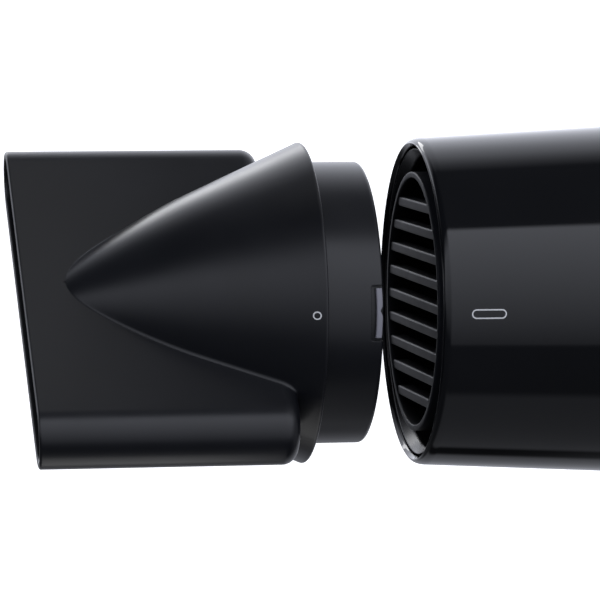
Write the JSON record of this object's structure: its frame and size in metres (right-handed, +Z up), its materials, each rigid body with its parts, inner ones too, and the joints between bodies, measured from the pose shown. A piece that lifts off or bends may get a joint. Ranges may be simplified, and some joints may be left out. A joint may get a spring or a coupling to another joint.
{
  "type": "hair dryer",
  "caption": "Hand-held hair dryer with a glossy flared barrel, barred outlet, straight handle with sliders and a pull-off turning concentrator nozzle.",
  "frame": {"origin": "middle of the hand grip, on the handle's centre line", "axes": "+X along the barrel from the outlet to the air inlet, -Y the dryer's left side, +Z up along the handle"},
  "size_m": [0.2353, 0.0754, 0.2027],
  "materials": {
    "gloss_black": "polished",
    "satin_black": "fine satin",
    "soft_black": "soft matte",
    "fan_plastic": "moulded",
    "control_grey": "satin",
    "white_plastic": "moulded",
    "mica": "pressed mica sheet",
    "heater_wire": "oxidised",
    "steel": "bright",
    "magnet": "sintered",
    "copper": "turned",
    "bronze": "sintered",
    "carbon": "pressed carbon",
    "circuit_board": "laminate",
    "blue_film": "film wrap"
  },
  "bodies": {
    "housing": {"barrel_shell": "gloss_black", "front_bezel": "gloss_black", "outlet_grille": "satin_black", "heat_shield_tube": "mica", "mica_board_level": "mica", "mica_board_upright": "mica", "heater_coil_front": "heater_wire", "heater_coil_rear": "heater_wire", "thermostat": "white_plastic", "thermal_fuse": "steel", "motor_can": "steel", "motor_end_cap": "white_plastic", "motor_magnet_right": "magnet", "motor_magnet_left": "magnet", "motor_bearing_front": "bronze", "motor_bearing_rear": "bronze", "motor_brush_upper": "carbon", "motor_brush_lower": "carbon", "rectifier_board": "circuit_board", "capacitor": "blue_film", "motor_mount": "fan_plastic", "handle_left": "satin_black", "handle_right": "satin_black", "handle_screw_upper": "steel", "handle_screw_lower": "steel", "switch_board": "circuit_board", "speed_switch": "fan_plastic", "heat_switch": "fan_plastic", "cool_microswitch": "control_grey", "cord_gland": "soft_black", "hanging_loop": "soft_black", "cool_button_spring": "steel"},
    "rotor": {"motor_shaft": "steel", "armature": "steel", "commutator": "copper", "fan_impeller": "fan_plastic"},
    "nozzle_collar": {"nozzle_collar": "satin_black", "collar_snap_tab": "control_grey"},
    "nozzle_shell": {"nozzle_shell": "satin_black"},
    "inlet_cover": {"inlet_cover": "satin_black", "inlet_filter": "fan_plastic"},
    "speed_slider": {"speed_slider": "control_grey"},
    "heat_slider": {"heat_slider": "control_grey"},
    "cool_button": {"cool_button": "control_grey"}
  },
  "joints": [
    {"name": "nozzle_push_on", "type": "slide", "parent": "housing", "child": "nozzle_collar", "axis": [1, 0, 0], "range_m": [0, 0.0212]},
    {"name": "nozzle_turn", "type": "hinge", "parent": "nozzle_collar", "child": "nozzle_shell", "pos_m": [-0.127, 0, 0.085], "axis": [1, 0, 0], "continuous": true},
    {"name": "fan_spin", "type": "hinge", "parent": "housing", "child": "rotor", "pos_m": [0, 0, 0.085], "axis": [1, 0, 0], "continuous": true},
    {"name": "inlet_cover_pull", "type": "slide", "parent": "housing", "child": "inlet_cover", "axis": [1, 0, 0], "range_m": [0, 0.02]},
    {"name": "speed_slide", "type": "slide", "parent": "housing", "child": "speed_slider", "axis": [0, 0, 1], "range_m": [0, 0.008]},
    {"name": "heat_slide", "type": "slide", "parent": "housing", "child": "heat_slider", "axis": [0, 0, 1], "range_m": [0, 0.008]},
    {"name": "cool_press", "type": "slide", "parent": "housing", "child": "cool_button", "axis": [-1, 0, 0], "range_m": [0, 0.0015], "stiffness_N_per_m": 400, "springref_m": -0.001, "deforming": ["cool_button_spring"]}
  ]
}
